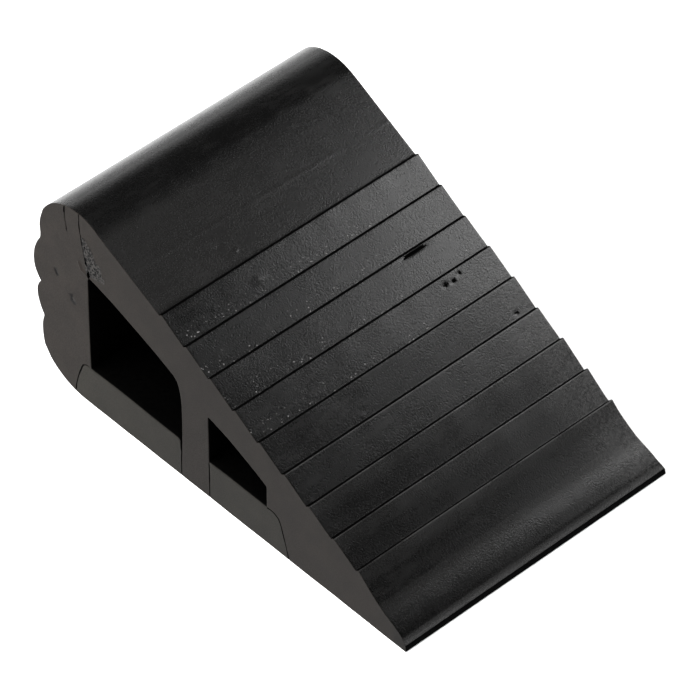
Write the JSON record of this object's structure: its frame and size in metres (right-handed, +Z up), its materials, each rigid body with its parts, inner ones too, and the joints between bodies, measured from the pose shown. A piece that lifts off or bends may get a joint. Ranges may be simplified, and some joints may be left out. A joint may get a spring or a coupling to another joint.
{
  "type": "wheel chock",
  "caption": "Moulded rubber wheel chock: saw-tooth ramp, rounded crown, scalloped heel and windows through the side, closed at the base by let-in strips.",
  "frame": {"origin": "middle of the base, on the surface that the chock stands on", "axes": "+X from the heel to the toe, +Y across the wheel's path, +Z up"},
  "size_m": [0.254, 0.16, 0.119],
  "materials": {
    "section_rubber": "matte warm grey-black where the side is cut, satin on the moulded crown and back",
    "ramp_rubber": "satin near-black moulded skin with scuffs, pits and streaks across the ramp",
    "strip_rubber": "matte warm grey-black, cut"
  },
  "bodies": {
    "root": {"heel_block": "section_rubber", "crown_filler": "section_rubber", "ramp_body": "ramp_rubber", "rear_base_strip": "strip_rubber", "front_base_strip": "strip_rubber"}
  },
  "joints": []
}
